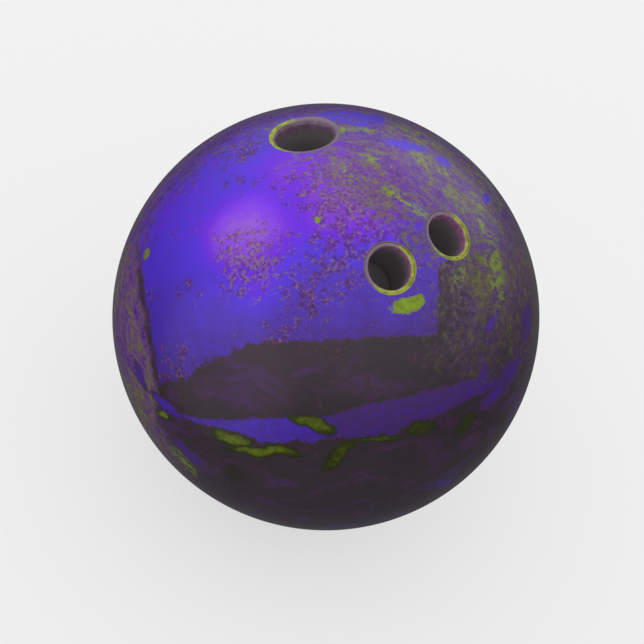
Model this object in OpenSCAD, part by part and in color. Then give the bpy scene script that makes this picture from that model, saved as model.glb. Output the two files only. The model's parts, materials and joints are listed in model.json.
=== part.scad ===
// Bowling ball: a cast cover over a cast filler and a weight block, drilled for a thumb and two fingers.
// The origin is the centre of the ball. +Z points out through the middle of the grip, +Y towards the
// finger holes and -Y towards the thumb hole. Every drilled axis passes through the centre.

/* [Ball] */
// Diameter of the ball
ball_d = 217; // [215.9:0.1:218.4]
// Thickness of the cast cover
cover_t = 25; // [20:1:30]

/* [Grip layout] */
// Angle from the middle of the grip to the thumb hole, in degrees
thumb_tilt = 23.6; // [20:0.1:27]
// Angle from the middle of the grip to the line between the finger holes, in degrees
finger_tilt = 23.6; // [20:0.1:27]
// Angle from that line to each finger hole, in degrees
finger_spread = 10; // [9.8:0.1:12]

/* [Finger holes] */
// Diameter of each drilled finger hole, 31/32 in
finger_hole_d = 24.6; // [23:0.1:25.1]
// Depth of each drilled finger hole, from the ball's surface: the two would meet just below this
finger_hole_depth = 36; // [34:0.5:37]
// Radius of the rounded edge that is cut round each finger hole
finger_edge_r = 0.8; // [0.4:0.1:1.2]
// Inside diameter of each finger grip
grip_bore_d = 21; // [18:0.1:21.4]
// Length of each finger grip
grip_len = 32; // [25:1:34]
// Radius of the rounded mouth of each finger grip
grip_mouth_r = 1; // [0.5:0.1:1.2]

/* [Thumb hole] */
// Diameter of the drilled thumb hole and of its slug, 1 3/8 in
thumb_hole_d = 34.9; // [34.6:0.1:38.1]
// Depth of the drilled thumb hole, from the ball's surface
thumb_hole_depth = 76; // [75:1:80]
// Diameter of the thumb's bore in the slug
thumb_bore_d = 28; // [22:0.1:28.4]
// Depth of the thumb's bore, from the ball's surface
thumb_bore_depth = 64; // [50:1:68]
// Radius of the rounded mouth of the thumb's bore
thumb_mouth_r = 3.2; // [1:0.1:3.4]

/* [Locator pin] */
// Diameter of the pin
pin_d = 6; // [5:0.1:9]
// Angle from the middle of the grip to the pin, in degrees
pin_tilt = 64; // [60:0.5:75]
// Turn of the pin round the grip's axis from +X, in degrees
pin_turn = -34; // [-50:1:-30]

/* [Weight block] */
// Radius of the block's round lower end
bulb_r = 42; // [40:1:46]
// Distance of the bulb's centre below the ball's centre, along the pin's axis
bulb_drop = 8; // [6:1:10]
// Radius of the neck between the bulb and the cap
neck_r = 24; // [20:1:26]
// Radius of the cap at the pin's end
cap_r = 30; // [28:1:34]
// Thickness of the cap
cap_t = 16; // [14:1:20]
// Distance of the cap's top face above the ball's centre, along the pin's axis
cap_top = 52; // [48:1:56]
// Radius of the cap's rounded edges
cap_edge_r = 6; // [3:1:6]

/* [Hidden] */

$fn = 128;
ball_r = ball_d / 2;
core_r = ball_r - cover_t;
finger_hole_r = finger_hole_d / 2;
grip_bore_r = grip_bore_d / 2;
thumb_hole_r = thumb_hole_d / 2;
thumb_bore_r = thumb_bore_d / 2;
pin_r = pin_d / 2;
// How far a cutting shape runs on past the surface that it cuts
past = 5;
// How far the top of a finger hole's rounded edge is above the ball's surface, so that the two cross
rim_lift = 0.05;
// Height of the top of that edge along the hole's axis
finger_rim_z = sqrt(pow(ball_r, 2) - pow(finger_hole_r + finger_edge_r, 2)) + rim_lift;
// Height of the grip's lip, halfway up the hole's rounded edge
grip_top_z = finger_rim_z - finger_edge_r / 2;
// Centre of the arc that rounds the thumb bore's mouth: it touches both the bore and the ball's surface
mouth_x = thumb_bore_r + thumb_mouth_r;
mouth_z = sqrt(pow(ball_r - thumb_mouth_r, 2) - pow(mouth_x, 2));

// Places its children, made along +Z, on the thumb hole's axis
module on_thumb() rotate([thumb_tilt, 0, 0]) children();

// Places its children on a finger hole's axis: side is -1 for the middle finger and 1 for the ring finger
module on_finger(side) rotate([-finger_tilt, 0, 0]) rotate([0, side * finger_spread, 0]) children();

// Places its children on the axis of the locator pin and the weight block
module on_pin() rotate([0, pin_tilt, pin_turn]) children();

// Round hole of radius r from the surface down to depth, whose edge is rounded by edge_r
module drilled_hole(r, depth, edge_r, rim_z) rotate_extrude() {
    translate([0, ball_r - depth]) square([r, depth + past]);
    translate([0, rim_z - edge_r]) difference() {
        square([r + edge_r, edge_r + past]);
        translate([r + edge_r, 0]) circle(edge_r);
    }
}

module finger_hole(side)
    on_finger(side) drilled_hole(finger_hole_r, finger_hole_depth, finger_edge_r, finger_rim_z);

module thumb_hole()
    on_thumb() translate([0, 0, ball_r - thumb_hole_depth]) cylinder(r = thumb_hole_r, h = thumb_hole_depth + past);

module pin_hole() on_pin() translate([0, 0, cap_top]) cylinder(r = pin_r, h = ball_r - cap_top + past);

// The weight block before drilling: a bulb, a neck and a round-edged cap
module block_blank() on_pin() rotate_extrude() intersection() {
    union() {
        translate([0, -bulb_drop]) circle(bulb_r);
        square([neck_r, cap_top - cap_t / 2]);
        translate([0, cap_top - cap_t]) {
            square([cap_r - cap_edge_r, cap_t]);
            translate([0, cap_edge_r]) square([cap_r, cap_t - 2 * cap_edge_r]);
            for (z = [cap_edge_r, cap_t - cap_edge_r]) translate([cap_r - cap_edge_r, z]) circle(cap_edge_r);
        }
    }
    translate([0, -ball_r]) square([ball_r, ball_d]);
}

module coverstock() color([0.27, 0.16, 0.72]) difference() {
    sphere(ball_r);
    sphere(core_r);
    thumb_hole();
    for (side = [-1, 1]) finger_hole(side);
    pin_hole();
}

module outer_core() color([0.80, 0.79, 0.74]) difference() {
    sphere(core_r);
    block_blank();
    thumb_hole();
    for (side = [-1, 1]) finger_hole(side);
    pin_hole();
}

module weight_block() color([0.62, 0.20, 0.16]) difference() {
    block_blank();
    thumb_hole();
}

module locator_pin() color([0.60, 0.66, 0.20]) intersection() {
    on_pin() translate([0, 0, cap_top]) cylinder(r = pin_r, h = ball_r - cap_top + past);
    sphere(ball_r);
}

// Grip tube with a rounded mouth, for either finger
module finger_grip(side) color([0.60, 0.66, 0.16]) on_finger(side) rotate_extrude() difference() {
    translate([grip_bore_r, grip_top_z - grip_len]) square([finger_hole_r - grip_bore_r, grip_len]);
    translate([grip_bore_r, grip_top_z - grip_mouth_r]) difference() {
        translate([-past, 0]) square([grip_mouth_r + past, grip_mouth_r + past]);
        translate([grip_mouth_r, 0]) circle(grip_mouth_r);
    }
}

module finger_grip_middle() finger_grip(-1);

module finger_grip_ring() finger_grip(1);

// What rounds the thumb bore's mouth, from the bore round to the ball's surface, above and beside the arc
module thumb_mouth_cut() translate([mouth_x, mouth_z]) difference() {
    reach = thumb_mouth_r + past;
    polygon([[0, 0], [-reach, 0], [-reach, reach], reach * [mouth_x, mouth_z] / norm([mouth_x, mouth_z])]);
    circle(thumb_mouth_r);
}

module thumb_slug() color([0.55, 0.60, 0.18]) on_thumb() rotate_extrude() difference() {
    intersection() {
        translate([0, ball_r - thumb_hole_depth]) square([thumb_hole_r, thumb_hole_depth]);
        circle(ball_r);
    }
    translate([0, ball_r - thumb_bore_depth]) square([thumb_bore_r, thumb_bore_depth + past]);
    thumb_mouth_cut();
}

coverstock();
outer_core();
weight_block();
locator_pin();
finger_grip_middle();
finger_grip_ring();
thumb_slug();
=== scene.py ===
import json
import math

import bmesh
import bpy
import numpy as np
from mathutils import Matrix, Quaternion, Vector, noise


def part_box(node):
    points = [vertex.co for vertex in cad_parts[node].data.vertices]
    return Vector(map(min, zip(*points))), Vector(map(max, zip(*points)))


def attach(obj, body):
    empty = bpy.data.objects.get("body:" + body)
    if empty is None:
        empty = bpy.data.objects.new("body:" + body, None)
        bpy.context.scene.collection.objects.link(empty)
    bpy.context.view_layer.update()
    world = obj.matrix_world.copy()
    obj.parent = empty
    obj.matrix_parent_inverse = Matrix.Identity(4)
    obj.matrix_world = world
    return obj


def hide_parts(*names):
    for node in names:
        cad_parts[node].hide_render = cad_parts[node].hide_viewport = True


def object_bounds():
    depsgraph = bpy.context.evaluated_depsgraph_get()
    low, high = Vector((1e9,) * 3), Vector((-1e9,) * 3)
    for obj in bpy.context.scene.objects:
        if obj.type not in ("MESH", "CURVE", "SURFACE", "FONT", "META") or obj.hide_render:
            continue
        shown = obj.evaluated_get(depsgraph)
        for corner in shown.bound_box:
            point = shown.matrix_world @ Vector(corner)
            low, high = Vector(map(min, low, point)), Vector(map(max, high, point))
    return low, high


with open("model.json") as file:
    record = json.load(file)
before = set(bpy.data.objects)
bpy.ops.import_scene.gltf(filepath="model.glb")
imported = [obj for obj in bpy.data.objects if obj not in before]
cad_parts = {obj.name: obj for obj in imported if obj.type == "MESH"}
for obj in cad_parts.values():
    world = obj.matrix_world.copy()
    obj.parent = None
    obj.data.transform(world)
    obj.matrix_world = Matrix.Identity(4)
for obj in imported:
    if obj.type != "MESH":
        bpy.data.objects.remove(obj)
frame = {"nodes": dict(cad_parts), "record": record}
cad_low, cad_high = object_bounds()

MM = 0.001
BALL_R = (cad_high.z - cad_low.z) / 2

# The photographed side of the ball: where the camera stands, and how far it is rolled, in degrees
PHOTO_AZIMUTH = 127.1
PHOTO_ELEVATION = 50.7
PHOTO_ROLL = 15.9


def camera_turn(azimuth, elevation, roll):
    """The rotation of a camera that looks at the ball's centre from that side."""
    a, e = math.radians(azimuth), math.radians(elevation)
    back = Vector((math.sin(a) * math.cos(e), -math.cos(a) * math.cos(e), math.sin(e)))
    return (-back).to_track_quat("-Z", "Y") @ Quaternion((0, 0, 1), math.radians(roll))


# The swirl is laid out on the ball along these three directions of its own, which don't change with the view:
# across and up over its bright side, and out through the middle of that side
PHOTO_TURN = camera_turn(PHOTO_AZIMUTH, PHOTO_ELEVATION, PHOTO_ROLL)
ACROSS, UP, OUT = (PHOTO_TURN @ Vector(v) for v in ((1, 0, 0), (0, 1, 0), (0, 0, 1)))

# Radii of the rounded edges of the thumb bore's mouth and of the finger holes, as on the CAD model
THUMB_MOUTH_R = 3.2 * MM
FINGER_EDGE_R = 0.8 * MM
# Radii of the fine rounding where the slug and the pin meet the cover, which is sharp on the CAD model
SLUG_EDGE_R = 0.25 * MM
PIN_EDGE_R = 0.12 * MM

# How finely the meshes are made: faces round a hole, round the pin and round the floor, and how often the
# ball's mesh is divided
HOLE_SEGMENTS = 128
PIN_SEGMENTS = 48
FLOOR_SEGMENTS = 64
BALL_DIVISIONS = 7
# Vertices closer than this are one
WELD = 1e-7
# Widths of the rings of faces round a hole, and of the gap outside them, in shares of the ball mesh's spacing
HOLE_RINGS = (0.5, 0.8, 1.2)
HOLE_GAP = 0.7

# ---------------------------------------------------------------- meshes

def mount(name):
    """One of the record's mounts."""
    return next(m for m in frame["record"]["mounts"] if m["name"] == name)


def mount_axis(name):
    return Vector(mount(name)["axis"]).normalized()


def mount_radius(name):
    return mount(name)["dims"]["r_mm"] * MM


def reach(node, axis):
    """A CAD node's lowest and highest point along an axis through the centre, and its radius round it."""
    points = np.array([v.co for v in frame["nodes"][node].data.vertices])
    along = points @ np.array(axis)
    round_axis = np.linalg.norm(points - np.outer(along, axis), axis=1)
    return float(along.min()), float(along.max()), float(round_axis.max())


def sphere_height(radius, sphere_r=BALL_R):
    """Height over the centre at which a hole of this radius meets a sphere."""
    return math.sqrt(sphere_r**2 - radius**2)


def cross_directions(axis):
    """Two directions square to an axis and to each other."""
    first = axis.orthogonal().normalized()
    return first, axis.cross(first)


def arc(centre, radius, start, end, steps):
    """Points (radius, height) along an arc of a profile, from one angle to another, in degrees."""
    angles = [math.radians(start + (end - start) * i / steps) for i in range(steps + 1)]
    return [(centre[0] + radius * math.cos(a), centre[1] + radius * math.sin(a)) for a in angles]


def ring(bm, axis, radius, height, segments):
    """A circle of new vertices round an axis."""
    first, second = cross_directions(axis)
    turns = [2 * math.pi * i / segments for i in range(segments)]
    spokes = [first * math.cos(t) + second * math.sin(t) for t in turns]
    return [bm.verts.new(axis * height + radius * spoke) for spoke in spokes]


def join_rings(bm, one, other):
    """A band of four-sided faces between two rings that have the same number of vertices."""
    for i in range(len(one)):
        j = (i + 1) % len(one)
        bm.faces.new((one[i], one[j], other[j], other[i]))


def loft(bm, axis, profile, segments, first_ring=None):
    """Turns a profile, a list of (radius, height), round an axis, on from a first ring if there is one, and
    returns its last ring. A straight stretch has points along it too, which keep its shading even."""
    last = first_ring
    for radius, height in profile:
        new = ring(bm, axis, radius, height, segments)
        if last:
            join_rings(bm, last, new)
        last = new
    return last


def cap(bm, centre, edge):
    """Closes a ring with a fan of triangles round its middle."""
    middle = bm.verts.new(centre)
    for i in range(len(edge)):
        bm.faces.new((edge[i - 1], edge[i], middle))


def finish_mesh(bm, name):
    """A smooth-shaded object from a closed mesh."""
    bmesh.ops.remove_doubles(bm, verts=bm.verts, dist=WELD)
    bmesh.ops.recalc_face_normals(bm, faces=bm.faces)
    mesh = bpy.data.meshes.new(name)
    bm.to_mesh(mesh)
    bm.free()
    mesh.polygons.foreach_set("use_smooth", [True] * len(mesh.polygons))
    piece = bpy.data.objects.new(name, mesh)
    bpy.context.scene.collection.objects.link(piece)
    return piece


def open_hole(bm, axis, radius, segments, spacing):
    """Cuts a round hole in the ball's mesh, with rings of faces round it that widen up to the mesh's own
    spacing. Returns the ring of vertices at the hole's edge."""
    angles = [math.asin(radius / BALL_R)]
    for width in HOLE_RINGS:
        angles.append(angles[-1] + width * spacing / BALL_R)
    cleared = angles[-1] + HOLE_GAP * spacing / BALL_R
    bmesh.ops.delete(bm, geom=[v for v in bm.verts if v.co.angle(axis) < cleared], context="VERTS")
    # The ragged edge left by the cut lies within three of the mesh's spacings
    near = cleared + 3 * spacing / BALL_R
    edge = [e for e in bm.edges if e.is_boundary and e.verts[0].co.angle(axis) < near]
    profile = [(BALL_R * math.sin(a), BALL_R * math.cos(a)) for a in reversed(angles)]
    outer_ring = ring(bm, axis, *profile[0], segments)
    ring_edges = [bm.edges.new((outer_ring[i - 1], outer_ring[i])) for i in range(segments)]
    bmesh.ops.bridge_loops(bm, edges=edge + ring_edges)
    return loft(bm, axis, profile[1:], segments, outer_ring)


def inner_place(point):
    """Where a point of the ball's surface lands on the shell's inner face: straight in, but close to a hole
    it is drawn away from the hole's axis, so that the hole's wall stays straight."""
    direction = point.normalized()
    for axis, radius, edge_r, _ in HOLES:
        outer_edge, inner_edge = math.asin((radius + edge_r) / BALL_R), math.asin(radius / CORE_R)
        limit = inner_edge + math.radians(INNER_MARGIN)
        angle = direction.angle(axis)
        if angle < limit:
            angle = inner_edge + (limit - inner_edge) * (angle - outer_edge) / (limit - outer_edge)
            side = (direction - axis * direction.dot(axis)).normalized()
            direction = axis * math.cos(angle) + side * math.sin(angle)
    return direction * CORE_R


def make_cover():
    """The cast shell: the ball's surface, the inner face on the filler, and the walls of the holes."""
    bm = bmesh.new()
    made = bmesh.ops.create_icosphere(bm, subdivisions=BALL_DIVISIONS, radius=BALL_R)
    spacing = made["verts"][0].link_edges[0].calc_length()
    rims = []
    for axis, radius, edge_r, segments in HOLES:
        rims.append(open_hole(bm, axis, radius + edge_r, segments, spacing))
    outer_faces = list(bm.faces)
    inner = {v: bm.verts.new(inner_place(v.co)) for v in list(bm.verts)}
    for face in outer_faces:
        bm.faces.new([inner[v] for v in reversed(face.verts)])
    for (axis, radius, edge_r, segments), rim in zip(HOLES, rims):
        centre = (radius + edge_r, sphere_height(radius + edge_r) - edge_r)
        rounding = arc(centre, edge_r, 90, 180, 8)[1:]
        foot = sphere_height(radius, CORE_R)
        wall = [(radius, centre[1] + (foot - centre[1]) * s) for s in (0.02, 0.25, 0.5, 0.75, 0.98)]
        join_rings(bm, loft(bm, axis, rounding + wall, segments, rim), [inner[v] for v in rim])
    return finish_mesh(bm, "swirl_cover")


def make_grip(name, node, axis, bore_r):
    """A soft grip tube: a rounded mouth, a worn outer lip and a bore."""
    low, high, radius = reach(node, axis)
    lip, mouth, foot = 0.3 * MM, 1.0 * MM, 0.3 * MM
    profile = [(bore_r, low + foot)]
    profile += [(bore_r, low + (high - low) * s) for s in (0.1, 0.3, 0.5, 0.7, 0.9)]
    profile += arc((bore_r + mouth, high - mouth), mouth, 180, 90, 12)
    profile += arc((radius - lip, high - lip), lip, 90, 0, 6)
    profile += [(radius, low + (high - low) * s) for s in (0.97, 0.7, 0.4, 0.1)]
    profile += arc((radius - foot, low + foot), foot, 0, -90, 4)
    profile += arc((bore_r + foot, low + foot), foot, -90, -180, 4)
    bm = bmesh.new()
    loft(bm, axis, profile, HOLE_SEGMENTS)
    # Cut and sanded by hand, so the lip rises and falls a little round the hole
    sanded, rise_mm, wave = 1.2 * MM, 0.10, 6 * MM
    for v in bm.verts:
        height = v.co.dot(axis)
        if height > high - sanded:
            v.co += axis * rise_mm * MM * noise.noise(v.co / wave) * (height - high + sanded) / sanded
    return finish_mesh(bm, name)


def thumb_floor():
    """Height of the thumb bore's floor over the ball's centre. The mount's length runs from the floor up to
    where the rounding of the mouth starts."""
    mouth_z = sphere_height(mount_radius("thumb_bore") + THUMB_MOUTH_R, BALL_R - THUMB_MOUTH_R)
    return mouth_z - mount("thumb_bore")["dims"]["length_mm"] * MM


def make_slug():
    """The thumb slug: close to flush with the ball outside, with a rounded mouth and a flat-floored bore."""
    axis, bore_r = mount_axis("thumb_bore"), mount_radius("thumb_bore")
    low, _, radius = reach("thumb_slug", axis)
    mouth, edge, corner, foot = THUMB_MOUTH_R, SLUG_EDGE_R, 1 * MM, 0.5 * MM
    floor = thumb_floor()
    centre = (bore_r + mouth, sphere_height(bore_r + mouth, BALL_R - mouth))
    # The mouth's arc ends where the rounding of the slug's outer edge starts
    top = math.degrees(math.acos((radius - edge - centre[0]) / mouth))
    profile = [(0.4 * bore_r, floor), (0.8 * bore_r, floor)]
    profile += arc((bore_r - corner, floor + corner), corner, -90, 0, 6)
    profile += [(bore_r, floor + (centre[1] - floor) * s) for s in (0.1, 0.3, 0.5, 0.7, 0.9)]
    profile += arc(centre, mouth, 180, top, 16)
    profile += arc((radius - edge, profile[-1][1] - edge), edge, 90, 0, 5)[1:]
    profile += [(radius, low + (centre[1] - low) * s) for s in (0.95, 0.6, 0.3, 0.05)]
    profile += arc((radius - foot, low + foot), foot, 0, -90, 4)
    profile += [(0.5 * radius, low)]
    bm = bmesh.new()
    first = ring(bm, axis, *profile[0], HOLE_SEGMENTS)
    last = loft(bm, axis, profile[1:], HOLE_SEGMENTS, first)
    cap(bm, axis * floor, first)
    cap(bm, axis * low, last)
    return finish_mesh(bm, "thumb_slug_bored")


def make_pin():
    """The locator pin: a cast plug, polished flush with the ball."""
    low, _, radius = reach("locator_pin", PIN_AXIS)
    edge, foot = PIN_EDGE_R, 0.4 * MM
    tip = math.asin((radius - edge) / BALL_R)
    profile = [(BALL_R * math.sin(tip * s), BALL_R * math.cos(tip * s)) for s in (0.35, 0.7, 1)]
    profile += arc((radius - edge, profile[-1][1] - edge), edge, 90, 0, 4)[1:]
    profile += [(radius, BALL_R + (low - BALL_R) * s) for s in (0.05, 0.35, 0.65, 0.98)]
    profile += arc((radius - foot, low + foot), foot, 0, -90, 4)
    bm = bmesh.new()
    first = ring(bm, PIN_AXIS, *profile[0], PIN_SEGMENTS)
    last = loft(bm, PIN_AXIS, profile[1:], PIN_SEGMENTS, first)
    cap(bm, PIN_AXIS * BALL_R, first)
    cap(bm, PIN_AXIS * low, last)
    return finish_mesh(bm, "locator_pin_plug")


# ---------------------------------------------------------------- materials

def linear(red, green, blue):
    """A colour given as screen values from 0 to 255, as the linear colour that a shader takes."""
    channel = [c / 255 for c in (red, green, blue)]
    return tuple(c / 12.92 if c <= 0.04045 else ((c + 0.055) / 1.055) ** 2.4 for c in channel) + (1,)


class Graph:
    """Builds a material's nodes. Each method adds a node and returns the socket that it gives."""

    def __init__(self, name):
        self.material = bpy.data.materials.new(name)
        self.material.use_nodes = True
        self.tree = self.material.node_tree
        self.shader = self.tree.nodes["Principled BSDF"]
        self.position = self.add("ShaderNodeTexCoord", {}, "Object")

    def add(self, kind, inputs, output=0, **settings):
        node = self.tree.nodes.new(kind)
        for key, value in settings.items():
            setattr(node, key, value)
        for key, value in inputs.items():
            self.put(node.inputs[key], value)
        return node.outputs[output]

    def put(self, socket, value):
        if isinstance(value, bpy.types.NodeSocket):
            self.tree.links.new(value, socket)
        else:
            socket.default_value = value

    def set(self, **values):
        """Sets the shader's own sockets: base_color=... sets Base Color."""
        for key, value in values.items():
            self.put(self.shader.inputs[key.replace("_", " ").title().replace("Ior", "IOR")], value)

    def math(self, operation, *values, clamp=False):
        return self.add("ShaderNodeMath", dict(enumerate(values)), operation=operation, use_clamp=clamp)

    def chain(self, operation, first, *others):
        """Applies one operation to the first value and the second, then to that and the third, and so on."""
        for value in others:
            first = self.math(operation, first, value)
        return first

    def sum(self, *values):
        return self.chain("ADD", *values)

    def product(self, *values):
        return self.chain("MULTIPLY", *values)

    def most(self, *values):
        return self.chain("MAXIMUM", *values)

    def vector(self, operation, *values, output=0, **named):
        inputs = {**dict(enumerate(values)), **named}
        return self.add("ShaderNodeVectorMath", inputs, output, operation=operation)

    def scale(self, vector, factor):
        return self.vector("SCALE", vector, Scale=factor)

    def dot(self, vector, direction):
        return self.vector("DOT_PRODUCT", vector, tuple(direction), output="Value")

    def noise(self, vector, scale, detail=4.0, roughness=0.55, distortion=0.0, output="Fac"):
        """A noise whose lumps are about one over the scale across."""
        inputs = dict(Vector=vector, Scale=scale, Detail=detail, Roughness=roughness, Distortion=distortion)
        return self.add("ShaderNodeTexNoise", inputs, output)

    def step(self, value, low, high, to_low=0.0, to_high=1.0, smooth=True):
        """Turns low..high into to_low..to_high, held at both ends."""
        inputs = {"Value": value, "From Min": low, "From Max": high, "To Min": to_low, "To Max": to_high}
        kind = "SMOOTHSTEP" if smooth else "LINEAR"
        return self.add("ShaderNodeMapRange", inputs, interpolation_type=kind)

    def between(self, share, one, other):
        """A number between two others, by a share from 0 to 1."""
        return self.sum(self.product(share, other), self.product(self.math("SUBTRACT", 1.0, share), one))

    def vary(self, value, amount):
        """Turns a noise that is even round 0.5 into one that is even round 0."""
        return self.product(self.math("SUBTRACT", value, 0.5), amount)

    def stroke(self, flat, centre, turn, size, ragged):
        """One stroke: an ellipse at a place, turned by some degrees, fading from 1 inside to 0 outside."""
        rotation = (0, 0, math.radians(turn))
        inputs = {"Vector": flat, "Location": (*centre, 0), "Rotation": rotation, "Scale": (*size, 1)}
        inside = self.add("ShaderNodeMapping", inputs, vector_type="TEXTURE")
        length = self.vector("LENGTH", inside, output="Value")
        return self.step(self.sum(length, ragged), 1.15, 0.25)

    def mix(self, share, one, other):
        """A colour between two others, by a share. The Mix node's colour sockets are known only by number."""
        inputs = {0: share, 6: one, 7: other}
        return self.add("ShaderNodeMix", inputs, 2, data_type="RGBA")

    def ramp(self, value, stops):
        """A colour ramp: stops are (place, linear colour). A new ramp has two stops already."""
        node = self.tree.nodes.new("ShaderNodeValToRGB")
        elements = node.color_ramp.elements
        for i, (place, colour) in enumerate(stops):
            element = elements[i] if i < 2 else elements.new(place)
            element.position, element.color = place, colour
        self.put(node.inputs[0], value)
        return node.outputs[0]

    def bump(self, height, strength, distance):
        inputs = {"Height": height, "Strength": strength, "Distance": distance}
        self.put(self.shader.inputs["Normal"], self.add("ShaderNodeBump", inputs))


# Colour stops, each with its place on the ramp. First the cast resin, from its darkest to its brightest; its
# blue and violet upper end paints the pool's reflection and highlights
RESIN_AND_REFLECTION = [
    (0.00, linear(57, 51, 55)),
    (0.15, linear(68, 51, 68)),
    (0.27, linear(82, 52, 94)),
    (0.38, linear(80, 48, 114)),
    (0.48, linear(80, 48, 150)),
    (0.60, linear(90, 56, 206)),
    (0.74, linear(94, 56, 248)),
    (0.85, linear(122, 40, 248)),
    (0.94, linear(140, 62, 238)),
    (1.00, linear(150, 88, 220)),
]
# The streaks in the swirl's muted parts, from violet over mauve and yellow-green to a dull tan
MUTED = [
    (0.24, linear(70, 38, 92)),
    (0.38, linear(120, 56, 184)),
    (0.46, linear(122, 80, 140)),
    (0.52, linear(130, 106, 122)),
    (0.58, linear(122, 116, 72)),
    (0.68, linear(150, 154, 56)),
    (0.80, linear(128, 122, 96)),
]
# A vein, from its dark edge to its bright middle
VEIN = [
    (0.0, linear(36, 36, 28)),
    (0.3, linear(62, 70, 26)),
    (0.6, linear(108, 126, 30)),
    (1.0, linear(156, 188, 40)),
]
# The specks, from plum to tan
SPECK = [
    (0.40, linear(66, 28, 62)),
    (0.48, linear(100, 40, 70)),
    (0.55, linear(128, 70, 76)),
    (0.63, linear(146, 130, 60)),
]
# Painted shade: what the muted parts darken to toward the bottom
SHADE = linear(54, 48, 54)
# Painted light from below: what the underside is lightened to
UNDERSIDE_PAINTED_LIGHT = linear(92, 86, 90)
# The bores' walls below their mouths, and the paler grey at the bottom of the finger holes, which is painted
# light that offsets the shade deep in them
GREY = linear(124, 120, 122)
BORE_PAINTED_LIGHT = linear(164, 160, 162)

# Strokes on the bright side. Each has its place (across, up), its turn in degrees, its half length and half
# width, and its strength. Places and sizes are in shares of the ball's radius. Veins are yellow-green with a
# dark edge, blues are flecks of brighter resin, patches are plain yellow-green, and dabs are broken into
# yellow-green streaks
VEINS = [
    ((-0.408, -0.531), -11, (0.110, 0.028), 0.60),
    ((-0.272, -0.585), -5, (0.200, 0.024), 0.56),
    ((-0.071, -0.467), -25, (0.125, 0.036), 0.54),
    ((0.044, -0.612), 40, (0.130, 0.036), 0.36),
    ((0.230, -0.534), 4, (0.160, 0.018), 0.38),
    ((0.424, -0.485), 16, (0.095, 0.036), 0.26),
    ((0.617, -0.464), 46, (0.095, 0.046), 0.26),
    ((-0.408, -0.703), -10, (0.110, 0.080), 0.13),
    ((-0.732, -0.436), -50, (0.050, 0.016), 0.75),
]
BLUES = [
    ((0.747, -0.349), 45, (0.130, 0.050), 0.50),
    ((0.687, -0.242), 80, (0.080, 0.030), 0.46),
    ((0.830, -0.246), 62, (0.130, 0.035), 0.46),
    ((0.741, -0.019), 62, (0.100, 0.035), 0.50),
    ((0.905, -0.030), 82, (0.160, 0.045), 0.46),
    ((-0.716, -0.395), -42, (0.130, 0.022), 0.60),
    ((-0.833, -0.259), -62, (0.130, 0.022), 0.52),
    ((-0.622, -0.616), -42, (0.150, 0.034), 0.50),
    ((-0.183, -0.736), 6, (0.130, 0.034), 0.36),
    ((0.644, -0.561), 50, (0.090, 0.040), 0.30),
    ((-0.360, -0.250), 14, (0.130, 0.030), 0.32),
    ((-0.080, -0.240), 8, (0.120, 0.024), 0.28),
    ((0.118, 0.900), -6, (0.200, 0.045), 0.66),
    ((0.354, 0.769), -14, (0.130, 0.035), 0.52),
    ((0.729, 0.539), 0, (0.030, 0.030), 0.52),
    ((0.533, 0.700), -30, (0.060, 0.030), 0.48),
]
PATCHES = [
    ((0.350, 0.053), 18, (0.115, 0.050), 1.2),
    ((-0.038, 0.418), 0, (0.024, 0.022), 0.9),
    ((0.067, 0.835), -20, (0.034, 0.020), 0.9),
]
DABS = [
    ((0.697, 0.400), -65, (0.110, 0.030), 1.2),
    ((0.666, 0.521), -40, (0.080, 0.030), 1.0),
    ((0.722, 0.629), -45, (0.100, 0.045), 0.8),
    ((0.804, 0.509), -50, (0.070, 0.022), 0.9),
    ((0.749, 0.199), -80, (0.220, 0.060), 0.8),
    ((0.586, 0.209), 85, (0.120, 0.050), 0.6),
    ((0.424, 0.810), -20, (0.160, 0.040), 0.9),
    ((0.190, 0.835), -5, (0.180, 0.020), 0.9),
    ((0.226, 0.696), -25, (0.130, 0.035), 0.9),
    ((0.102, 0.623), -30, (0.110, 0.060), 0.6),
    ((0.359, 0.500), -30, (0.180, 0.035), 1.0),
    ((0.471, 0.672), -30, (0.160, 0.030), 0.8),
    ((-0.937, -0.309), -72, (0.160, 0.035), 1.1),
    ((-0.835, -0.527), -58, (0.200, 0.040), 1.1),
    ((-0.634, -0.667), -46, (0.160, 0.030), 0.9),
    ((-0.960, 0.100), 85, (0.200, 0.024), 0.7),
]
# Painted highlights: softer blooms beside the brightest one, each with its place, inner and outer distance,
# and how bright it is
PAINTED_BLOOMS = [
    ((-0.130, 0.636), 0.05, 0.28, 0.60),
    ((0.127, 0.556), 0.14, 0.44, 0.86),
    ((-0.310, 0.190), 0.04, 0.24, 0.75),
]
# Clouds of specks on the bright side: place, inner and outer distance, and how thick they are
CLOUDS = [
    ((-0.331, 0.234), 0.03, 0.26, 0.95),
    ((0.087, 0.271), 0.05, 0.30, 0.80),
    ((-0.077, 0.107), 0.04, 0.22, 0.74),
    ((-0.382, 0.741), 0.04, 0.16, 0.95),
    ((0.140, 0.560), 0.10, 0.44, 1.0),
    ((0.300, 0.300), 0.05, 0.30, 0.85),
    ((-0.660, -0.240), 0.04, 0.22, 0.55),
    ((-0.850, 0.400), 0.03, 0.20, 0.90),
    ((-0.190, -0.070), 0.02, 0.13, 0.70),
]


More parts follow.
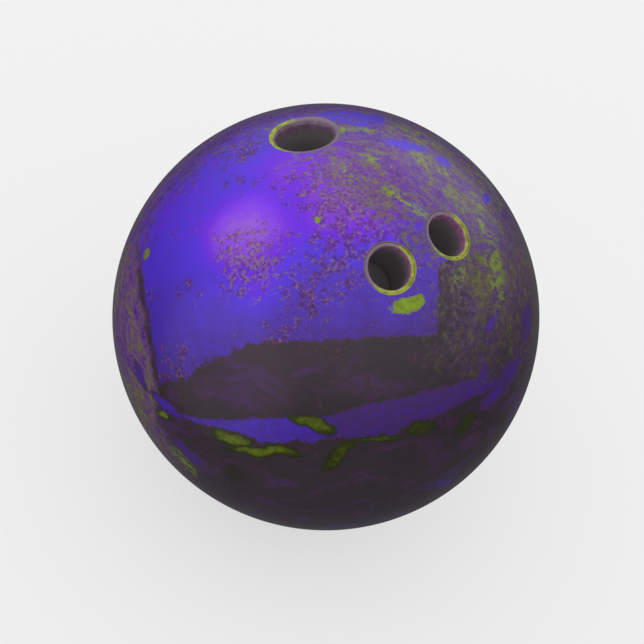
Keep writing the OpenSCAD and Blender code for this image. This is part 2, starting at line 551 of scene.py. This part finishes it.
class Swirl:
    """The fields that the swirl's colours are laid out by. Places are in shares of the ball's radius."""

    def __init__(self, g):
        unit = g.scale(g.position, 1 / BALL_R)
        self.g = g
        self.x, self.y, self.z = (g.dot(unit, axis) for axis in (ACROSS, UP, OUT))
        self.place = g.add("ShaderNodeCombineXYZ", {"X": self.x, "Y": self.y, "Z": self.z})
        self.flat = g.add("ShaderNodeCombineXYZ", {"X": self.x, "Y": self.y, "Z": 0.0})
        self.warped = g.vector("ADD", self.place, self.push(1.7, 0.45))
        # In these stretched places a noise draws out into bands: round the bright side, and across it
        self.round_bands = g.vector("MULTIPLY", self.warped, (1.0, 1.0, 3.4))
        self.cross_bands = g.vector("MULTIPLY", self.warped, (1.0, 4.0, 1.0))
        self.coarse = g.noise(self.warped, 2.1, 6, 0.56, 0.9)
        self.bands = g.noise(self.round_bands, 3.6, 7, 0.62, 0.6)
        self.streaks = g.noise(self.cross_bands, 3.2, 7, 0.72, 0.1)
        self.threads = g.noise(self.round_bands, 12, 6, 0.68, 0.4)
        self.mottle = g.noise(self.place, 9, 6, 0.66)
        self.fine = g.noise(self.place, 34, 4, 0.72)
        self.grain = g.noise(self.place, 105, 2, 0.8)
        self.ragged = g.sum(g.vary(self.mottle, 0.16), g.vary(self.fine, 0.10))
        # 1 on the bright side, 0 on the far side, with a wandering border
        self.near = g.step(g.sum(self.z, g.vary(self.coarse, 1.6)), -0.30, 0.05)
        # How far across the pool's left edge is: it leans outward to the top, and then opens
        opens = g.step(self.y, 0.30, 0.52, 0.0, -0.55)
        self.left = g.sum(g.step(self.y, -0.30, 0.34, -0.737, -0.849, smooth=False), opens)
        self.flecks = self.strokes(BLUES, 0.8, 1.1, 0.08)

    def push(self, scale, amount):
        """A small shift of the place in a direction that wanders over the ball."""
        g = self.g
        wander = g.noise(self.place, scale, 3, output="Color")
        return g.scale(g.vector("SUBTRACT", wander, (0.5, 0.5, 0.5)), amount)

    def pool(self):
        """The pool of bright blue: on the bright side a painted reflection of the bright sky, crisp along its
        foot, its left and its right, and marbled on the far side."""
        g, x, y = self.g, self.x, self.y
        foot = g.step(x, -0.70, -0.34, -0.30, -0.115, smooth=False)
        foot = g.sum(foot, g.step(x, -0.34, 0.49, 0.0, 0.03, smooth=False))
        right = g.step(y, 0.22, 0.42, 0.492, 1.3)
        above = g.math("SUBTRACT", y, foot)
        inward = g.math("SUBTRACT", x, self.left)
        outward = g.math("SUBTRACT", right, x)
        # The foot is ragged on the left and smoother on the right, and the two sides are almost straight
        above = g.sum(above, g.product(self.ragged, g.step(x, -0.50, -0.15, 1.5, 0.35)))
        sides = g.sum(g.math("MINIMUM", inward, outward), g.product(self.ragged, 0.2))
        bright_side = g.math("MINIMUM", above, sides)
        far_side = g.sum(g.vary(self.coarse, 1.6), g.product(self.ragged, 0.6))
        return g.step(g.between(self.near, far_side, bright_side), -0.006, 0.010)

    def spot(self, centre, inner, outer, fray=0.10):
        """1 within one distance of a place on the bright side, fading to 0 at another."""
        spot = (*centre, math.sqrt(1 - centre[0] ** 2 - centre[1] ** 2))
        distance = self.g.vector("DISTANCE", self.place, spot, output="Value")
        return self.g.step(self.g.sum(distance, self.g.vary(self.fine, fray)), outer, inner)

    def tone(self, pool):
        """How bright the resin is, from 0 to 1: blue with violet blooms in the pool, which are painted
        reflection and painted highlights, and dark round it.
        """
        g = self.g
        # The brightest bloom and the softer ones beside it are a painted highlight
        painted_bloom = self.spot((-0.335, 0.335), 0.03, 0.35)
        for centre, inner, outer, share in PAINTED_BLOOMS:
            painted_bloom = g.most(painted_bloom, g.product(self.spot(centre, inner, outer), share))
        # Painted light: the pool is brighter toward the top and toward the left
        painted_top_light = g.step(self.y, -0.3, 0.4, 0.0, 0.29, smooth=False)
        painted_left_light = g.step(self.x, -0.8, 0.5, 0.05, -0.06, smooth=False)
        pool_tone, dark_tone = 0.44, 0.05
        unrest = g.sum(g.vary(self.fine, 0.12), g.vary(self.mottle, 0.20))
        in_pool = g.sum(pool_tone, painted_top_light, painted_left_light, g.product(painted_bloom, 0.26), unrest)
        far = g.sum(g.step(self.coarse, 0.5, 0.7, 0.52, 0.9), g.vary(self.mottle, 0.2))
        in_pool = g.between(self.near, far, in_pool)
        # Round the pool the streaks stay maroon. Only the ribbon, a painted reflection, and the bands by the
        # edge come up to purple
        by_edge = g.step(self.z, 0.66, 0.34)
        wash = g.product(self.spot((-0.333, -0.278), 0.05, 0.34, 0.2), 0.10)
        dark = g.sum(dark_tone, wash, g.product(g.step(self.streaks, 0.44, 0.70), 0.22))
        bands = g.product(g.step(self.bands, 0.46, 0.66), by_edge, 0.42)
        dark = g.sum(dark, bands, g.vary(self.fine, 0.22))
        ribbon_reflection = g.step(self.x, -0.12, 0.10, 0.58, 0.43)
        ribbon_reflection = g.sum(ribbon_reflection, g.vary(self.fine, 0.35), g.vary(self.streaks, 0.3))
        dark = g.most(dark, g.product(self.ribbon_reflection(), ribbon_reflection))
        flecks = g.sum(self.flecks, g.product(g.vary(self.fine, 0.25), g.step(self.flecks, 0.0, 0.1)))
        dark = g.most(dark, flecks)
        return g.sum(g.between(pool, dark, in_pool), g.vary(self.grain, 0.16))

    def ribbon_reflection(self):
        """A ribbon of blue that crosses below the pool in a shallow curve: a painted reflection of a bright
        strip of ground.
        """
        g = self.g
        from_middle = g.math("ADD", self.x, 0.20)
        curve = g.sum(-0.489, g.product(from_middle, from_middle, 0.245))
        off = g.math("ABSOLUTE", g.math("SUBTRACT", g.sum(self.y, g.product(self.ragged, 0.5)), curve))
        width = g.product(g.step(self.x, -0.60, -0.22, 0.010, 0.056), g.step(self.x, -0.10, 0.28, 1.0, 1.36))
        width = g.product(width, g.step(self.x, 0.30, 0.62, 1.0, 0.60))
        ribbon_reflection = g.step(g.math("SUBTRACT", width, off), -0.004, 0.008)
        return g.product(ribbon_reflection, g.step(self.z, 0.05, 0.2))

    def muted(self):
        """Where mauve and olive cover the blue: over the upper right, and in bands round the edge."""
        g = self.g
        beside = g.product(g.sum(g.product(self.x, 1.15), -0.10), g.step(self.y, -0.42, -0.20))
        lean = g.most(g.sum(g.product(self.x, 0.70), g.product(self.y, 0.75)), beside)
        upper_right = g.step(g.sum(lean, g.vary(self.bands, 0.6), g.vary(self.fine, 0.7)), 0.40, 0.64)
        edge = g.sum(self.z, g.vary(self.mottle, 0.4), g.vary(self.fine, 0.6))
        low = g.step(self.x, -0.4, 0.4, -0.92, -0.22, smooth=False)
        above_low = g.step(g.math("SUBTRACT", self.y, low), 0.0, 0.27)
        rim = g.product(g.step(edge, 0.56, 0.32), g.step(self.bands, 0.28, 0.42), above_low)
        far = g.product(g.step(g.sum(self.bands, g.vary(self.fine, 0.3)), 0.54, 0.64), 0.8)
        left_of = g.math("SUBTRACT", g.sum(self.x, g.product(self.ragged, 0.6)), self.left)
        left_edge = g.product(g.step(left_of, 0.0, -0.04), g.step(self.y, 0.45, 0.30))
        near = g.most(rim, left_edge, upper_right)
        return g.between(self.near, far, g.product(near, g.step(self.flecks, 0.35, 0.1)))

    def muted_colour(self):
        """Fine streaks of violet, mauve and yellow-green, with painted light and shade: lighter toward the
        top and the left edge, darker below.
        """
        g = self.g
        hue = g.sum(g.vary(self.threads, 0.6), g.vary(self.fine, 0.55))
        hue = g.sum(hue, g.vary(self.grain, 0.60), g.vary(self.bands, 0.5))
        # The left edge is the mauvest, and greys toward its lower end
        hue = g.sum(hue, g.product(self.x, 0.05), g.step(self.x, -0.70, -0.86, 0.455, 0.50))
        lower_left = g.product(g.step(self.x, -0.45, -0.65), g.step(self.y, -0.18, -0.42, 0.0, 0.07))
        hue = g.sum(hue, lower_left)
        # Painted light and shade: the streaks are lighter toward the top and the left edge and darker below
        to_top = g.step(self.y, -0.25, 0.70, 0.20, 0.94, smooth=False)
        light = g.most(to_top, g.step(self.x, -0.50, -0.80))
        light = g.sum(light, g.vary(self.mottle, 0.6), g.vary(self.fine, 0.8))
        return g.mix(g.math("MINIMUM", light, 1.0, clamp=True), SHADE, g.ramp(hue, MUTED))

    def strokes(self, strokes, fine, mottle, waves):
        """How strong the strongest of some strokes is at each place. Their edges are ragged by so much of
        the fine noise and of the mottle, and their lines are wavy."""
        g = self.g
        rough = g.sum(g.vary(self.fine, fine), g.vary(self.mottle, mottle))
        wavy = g.vector("ADD", self.flat, self.push(6, waves))
        bright_side = g.step(self.z, 0.0, 0.1)
        strength = 0.0
        for centre, turn, size, share in strokes:
            stroke = g.product(g.stroke(wavy, centre, turn, size, rough), bright_side, share)
            strength = g.most(strength, stroke)
        return strength

    def veins(self):
        """Veins, dark along the edge and bright along the middle: the strokes, and a few on the far side."""
        g = self.g
        strokes = self.strokes(VEINS, 0.5, 0.9, 0.10)
        strokes = g.product(strokes, g.step(self.fine, 0.3, 0.7, 0.70, 1.20))
        other = g.step(g.noise(self.round_bands, 4.0, 5, 0.6, 0.8), 0.66, 0.80)
        return g.most(strokes, g.product(other, g.math("SUBTRACT", 1.0, self.near), 0.8))

    def dabs(self):
        """Plain patches, and soft dabs that are broken into streaks and specks."""
        g = self.g
        patches = self.strokes(PATCHES, 0.9, 0.9, 0.05)
        dabs = self.strokes(DABS, 0.8, 1.2, 0.06)
        streaky = g.sum(self.threads, g.vary(self.fine, 0.5), g.vary(self.grain, 0.4))
        dabs = g.product(dabs, g.step(streaky, 0.44, 0.60), 0.85)
        return g.most(g.step(patches, 0.30, 0.60), dabs)

    def specks(self):
        """Clumps of specks that gather in clouds over the blue."""
        g = self.g
        cloud = g.step(g.noise(self.place, 5, 5, 0.6), 0.50, 0.66, 0.0, 0.55)
        for centre, inner, outer, share in CLOUDS:
            cloud = g.most(cloud, g.product(self.spot(centre, inner, outer, 0.35), share))
        clump = g.sum(g.noise(self.place, 24, 5, 0.78), g.vary(self.grain, 0.34), g.product(cloud, 0.18))
        return g.product(g.step(clump, 0.595, 0.655), g.step(cloud, 0.05, 0.2))


def cover_material():
    """Pearl urethane under a clear polish: blue and violet pools in dark resin, where the bright side's pool,
    blooms and ribbon are painted reflection and highlights, with yellow-green veins.
    """
    g = Graph("swirl_resin")
    s = Swirl(g)
    # On the bright side the pool is a painted reflection of the bright sky
    pool = s.pool()
    tone = s.tone(pool)
    colour = g.ramp(tone, RESIN_AND_REFLECTION)
    # Specks turn from plum to tan in the two brightest clouds
    tan = g.most(s.spot((-0.32, 0.20), 0.06, 0.26), s.spot((0.14, 0.62), 0.10, 0.36))
    speck = g.sum(g.noise(s.place, 60, 3, 0.7), g.vary(s.mottle, 0.2), g.product(tan, 0.08))
    speck = g.ramp(speck, SPECK)
    colour = g.mix(g.product(s.specks(), g.sum(g.product(pool, 0.50), 0.15)), colour, speck)
    # Painted light: the underside is lightened, as if lit from below
    painted_underside_light = g.step(s.y, -0.42, -0.72, 0.0, 0.22)
    colour = g.mix(painted_underside_light, colour, UNDERSIDE_PAINTED_LIGHT)
    colour = g.mix(g.product(s.muted(), 0.88), colour, s.muted_colour())
    veins = s.veins()
    colour = g.mix(g.step(veins, 0.03, 0.22), colour, g.ramp(veins, VEIN))
    leaf = g.ramp(g.sum(0.80, g.vary(s.fine, 0.9)), VEIN)
    colour = g.mix(s.dabs(), colour, leaf)
    finger_holes = HOLES[1:3]
    for hole in finger_holes:
        colour = hole_edge(g, hole, s.mottle, colour)
    # The brighter the resin, the more pearl it holds
    g.set(base_color=colour, metallic=g.step(tone, 0.3, 0.7, 0.0, 0.25))
    g.set(roughness=g.step(s.fine, 0.3, 0.7, 0.16, 0.24), specular_ior_level=0.1, ior=1.5)
    g.set(coat_weight=0.7, coat_roughness=0.03, coat_ior=1.4)
    return g.material


def bore_tone(g, depth, rim, wall, fade, lost):
    """A bore's colour by its depth under the ball's surface: the rim, then the wall, then grey."""
    colour = g.mix(g.step(depth, fade, 2 * fade), rim, wall)
    return g.mix(g.step(depth, 2 * fade, lost), colour, GREY)


def rim_tone(g, axis, toward, mottle, from_turn=-0.35):
    """A bored rim's colour: yellow-green on the side that lies in one direction, grey-mauve opposite. Round
    the finger holes the yellow-green side is a painted highlight on the side toward the light.
    """
    side = (toward - axis * toward.dot(axis)).normalized()
    rim_r = 12 * MM
    turn = g.sum(g.product(g.dot(g.position, side), 1 / rim_r), g.vary(mottle, 1.4))
    leaf = g.mix(g.step(mottle, 0.4, 0.6), linear(128, 138, 34), linear(176, 190, 44))
    return g.mix(g.step(turn, from_turn, from_turn + 0.5), linear(136, 118, 136), leaf)


def hole_edge(g, hole, mottle, colour):
    """Lays the rim's colour over the rounded edge that the cover has round a finger hole, with its painted
    highlight on the side toward the light.
    """
    axis, radius, edge_r, _ = hole
    off = g.vector("LENGTH", g.vector("CROSS_PRODUCT", g.position, tuple(axis)), output="Value")
    on_edge = g.step(off, radius + edge_r, radius + 0.7 * edge_r)
    on_edge = g.product(on_edge, g.math("GREATER_THAN", g.dot(g.position, axis), 0.0))
    return g.mix(on_edge, colour, rim_tone(g, axis, FINGER_LIT_SIDE, mottle))


def grip_material(name, axis):
    """Soft vinyl: a yellow-green lip with a painted highlight on its side toward the light, over a plum bore
    painted paler deep down, with a fine matt grain.
    """
    g = Graph(name)
    depth = g.math("SUBTRACT", BALL_R, g.vector("LENGTH", g.position, output="Value"))
    mottle = g.noise(g.position, 1 / (3 * MM), 5, 0.65)
    fine = g.noise(g.position, 1 / (0.5 * MM), 3, 0.7)
    lip = rim_tone(g, axis, FINGER_LIT_SIDE, mottle)
    wall = g.mix(g.step(mottle, 0.35, 0.65), linear(150, 80, 136), linear(184, 130, 174))
    edge = g.sum(depth, g.vary(mottle, 0.8 * MM))
    # Deeper down the vinyl is painted paler: painted light that offsets the shade deep in the bore
    painted_light_from, bottom = 9 * MM, 34 * MM
    tone = bore_tone(g, edge, lip, wall, 0.6 * MM, painted_light_from)
    tone = g.mix(g.step(depth, painted_light_from, bottom), tone, BORE_PAINTED_LIGHT)
    g.set(base_color=tone, roughness=g.step(fine, 0.3, 0.7, 0.38, 0.52), ior=1.5)
    g.bump(fine, 0.25, 0.1 * MM)
    return g.material


def slug_material():
    """Sanded urethane: a marbled yellow-green rim over a mauve bore, with turned rings on its wall."""
    g = Graph("slug_urethane")
    depth = g.math("SUBTRACT", BALL_R, g.vector("LENGTH", g.position, output="Value"))
    marble = g.noise(g.position, 1 / (7 * MM), 6, 0.6, 1.5)
    fine = g.noise(g.position, 1 / (0.6 * MM), 3, 0.7)
    rim = rim_tone(g, THUMB, UP * 0.1 - ACROSS, marble, 0.35)
    wall = g.mix(g.step(marble, 0.35, 0.65), linear(104, 68, 98), linear(136, 108, 132))
    edge = g.sum(depth, g.vary(marble, 0.8 * MM))
    g.set(base_color=bore_tone(g, edge, rim, wall, 0.7 * MM, 10 * MM))
    g.set(roughness=g.step(fine, 0.3, 0.7, 0.22, 0.34), ior=1.5)
    ring_step = 0.8 * MM
    rings = g.math("SINE", g.product(depth, 2 * math.pi / ring_step))
    g.bump(g.sum(g.product(rings, 0.5), fine), 0.15, 0.05 * MM)
    return g.material


def pin_material():
    """Cast resin, clouded yellow-green, under a clear polish."""
    g = Graph("pin_resin")
    cloud = g.noise(g.position, 1 / (2.5 * MM), 4, 0.6)
    g.set(base_color=g.mix(g.step(cloud, 0.35, 0.65), linear(108, 112, 52), linear(146, 152, 62)))
    g.set(roughness=g.step(cloud, 0.3, 0.7, 0.10, 0.2), coat_weight=1.0, coat_roughness=0.03, ior=1.5)
    return g.material


def cast_material(name, dark, light, grit):
    """A matt casting: two close tones and a fine grit."""
    g = Graph(name)
    cloud = g.noise(g.position, 1 / (14 * MM), 5, 0.6)
    fine = g.noise(g.position, 1 / grit, 3, 0.75)
    tone = g.sum(g.product(cloud, 0.6), g.product(fine, 0.4))
    g.set(base_color=g.mix(g.step(tone, 0.38, 0.62), dark, light))
    g.set(roughness=g.step(fine, 0.3, 0.7, 0.55, 0.8), ior=1.5)
    g.bump(fine, 0.4, 0.15 * MM)
    return g.material


# ---------------------------------------------------------------- the ball

CORE_R = (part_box("outer_core")[1].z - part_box("outer_core")[0].z) / 2
# The middle of the pin's box lies on the pin's axis
PIN_AXIS = sum(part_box("locator_pin"), Vector()).normalized()
THUMB, MIDDLE, RING = (mount_axis(n) for n in ("thumb_bore", "finger_bore_middle", "finger_bore_ring"))
# The side of the finger holes' rims that is yellow-green, a painted highlight on the side toward the light
FINGER_LIT_SIDE = ACROSS * 0.9 - UP * 0.45
# How far round a hole's inner edge the inner face gives way, in degrees. It is under half the gap between the
# finger holes
INNER_MARGIN = 1.5
# Each hole through the cover: its axis, its radius, the radius of its rounded edge, and the faces round it
HOLES = [
    (THUMB, reach("thumb_slug", THUMB)[2], SLUG_EDGE_R, HOLE_SEGMENTS),
    (MIDDLE, reach("finger_grip_middle", MIDDLE)[2], FINGER_EDGE_R, HOLE_SEGMENTS),
    (RING, reach("finger_grip_ring", RING)[2], FINGER_EDGE_R, HOLE_SEGMENTS),
    (PIN_AXIS, reach("locator_pin", PIN_AXIS)[2], PIN_EDGE_R, PIN_SEGMENTS),
]


def place(piece, material, node, slot):
    """Gives a piece its material, hangs it on the root body, and hides the CAD node that it stands for."""
    piece.data.materials.append(material)
    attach(piece, "root")
    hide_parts(node)


def dress(node, material):
    """Gives a CAD node that stays a better material."""
    shape = frame["nodes"][node]
    shape.data.materials.clear()
    shape.data.materials.append(material)


def make_ball():
    place(make_cover(), cover_material(), "coverstock", "cover")
    for finger, axis in (("middle", MIDDLE), ("ring", RING)):
        name, node = f"grip_{finger}_vinyl", f"finger_grip_{finger}"
        grip = make_grip(name, node, axis, mount_radius(f"finger_bore_{finger}"))
        place(grip, grip_material(name, axis), node, "grip")
    place(make_slug(), slug_material(), "thumb_slug", "slug")
    place(make_pin(), pin_material(), "locator_pin", "pin")
    filler = cast_material("filler_cast", linear(146, 142, 145), linear(168, 164, 168), 0.8 * MM)
    dress("outer_core", filler)
    block = cast_material("block_cast", linear(136, 46, 38), linear(168, 70, 56), 1.1 * MM)
    dress("weight_block", block)


# ---------------------------------------------------------------- the studio

# Brightness of the studio's air overhead and below
AIR_TOP, AIR_BELOW = 0.80, 0.08
# Its soft lamps. Each has its direction, the angles at which it is gone and within which it is full, and its
# strength
LAMPS = [
    (ACROSS * -0.62 + UP * 0.68 + OUT * 0.39, 22, 9, 0.55),
    (Vector((-0.5, -0.8, 0.35)), 40, 14, 0.12),
    (Vector((-0.95, -0.20, 0.25)), 26, 12, 0.30),
    (Vector((0.99, -0.06, -0.05)), 46, 18, 0.45),
]


def make_floor():
    """A pale floor that curves up into a wall all round. Only the camera sees it."""
    bm = bmesh.new()
    flat, bend, top = 3.0, 1.5, 5.0
    base = cad_low.z
    # The two inner rings keep the floor's shading even round the ball
    profile = [(r, base) for r in (0.3, 1.0, flat)]
    profile += [(r, base + h) for r, h in arc((flat, bend), bend, -90, 0, 12)[1:]]
    profile += [(flat + bend, base + top)]
    axis = Vector((0, 0, 1))
    first = ring(bm, axis, *profile[0], FLOOR_SEGMENTS)
    last = loft(bm, axis, profile[1:], FLOOR_SEGMENTS, first)
    cap(bm, axis * base, first)
    cap(bm, axis * (base + top), last)
    floor = finish_mesh(bm, "studio_floor")
    material = bpy.data.materials.new("floor_paint")
    material.use_nodes = True
    shader = material.node_tree.nodes["Principled BSDF"]
    grey, glow = 0.35, 0.60
    shader.inputs["Base Color"].default_value = (grey, grey, grey, 1)
    shader.inputs["Roughness"].default_value = 0.9
    shader.inputs["Emission Color"].default_value = (1, 1, 1, 1)
    shader.inputs["Emission Strength"].default_value = glow
    floor.data.materials.append(material)
    floor.visible_glossy = False
    floor.visible_diffuse = False
    floor.visible_shadow = False


def make_world():
    """The studio's light: bright overhead, dim below, with four soft lamps."""
    world = bpy.data.worlds.new("studio_air")
    world.use_nodes = True
    tree = world.node_tree

    def node(kind, **inputs):
        """A node whose sockets get these inputs in their order. The names only say what the inputs are."""
        made = tree.nodes.new(kind)
        for socket, value in zip(made.inputs, inputs.values()):
            if isinstance(value, bpy.types.NodeSocket):
                tree.links.new(value, socket)
            else:
                socket.default_value = value
        return made

    def glow(towards, edge, full, strength):
        """A soft patch of light round a direction: gone beyond one angle, full within another, in degrees."""
        dot = tree.nodes.new("ShaderNodeVectorMath")
        dot.operation = "DOT_PRODUCT"
        tree.links.new(direction, dot.inputs[0])
        dot.inputs[1].default_value = towards.normalized()
        fade = node("ShaderNodeMapRange", value=dot.outputs["Value"], low=math.cos(math.radians(edge)),
                    high=math.cos(math.radians(full)), dark=0.0, bright=strength)
        fade.interpolation_type = "SMOOTHSTEP"
        return fade.outputs[0]

    direction = tree.nodes.new("ShaderNodeTexCoord").outputs["Generated"]
    total = glow(Vector((0, 0, 1)), 115, 40, AIR_TOP - AIR_BELOW)
    for towards, edge, full, strength in LAMPS:
        lamp = glow(towards, edge, full, strength)
        total = node("ShaderNodeMath", one=total, other=lamp).outputs[0]
    background = tree.nodes["Background"]
    background.inputs["Color"].default_value = (1, 1, 1, 1)
    total = node("ShaderNodeMath", one=total, other=AIR_BELOW).outputs[0]
    tree.links.new(total, background.inputs["Strength"])
    bpy.context.scene.world = world


# The camera's sensor and lens in millimetres, and its distance from the ball's centre in radii of the ball
SENSOR_MM, LENS_MM = 36, 130.8
CAMERA_RADII = 11
# How far the lens is shifted, in shares of the frame's width
CAMERA_SHIFT = (-0.006, -0.008)


def make_camera():
    """A long lens from the photographed side. The ball stands a little right of and above the middle."""
    camera = bpy.data.cameras.new("camera")
    camera.sensor_width, camera.lens = SENSOR_MM, LENS_MM
    camera.shift_x, camera.shift_y = CAMERA_SHIFT
    holder = bpy.data.objects.new("camera", camera)
    holder.rotation_mode = "QUATERNION"
    holder.rotation_quaternion = PHOTO_TURN
    holder.location = OUT * CAMERA_RADII * BALL_R
    bpy.context.scene.collection.objects.link(holder)
    bpy.context.scene.camera = holder


make_ball()
make_floor()
make_world()
make_camera()
bpy.context.scene.view_settings.view_transform = "Standard"
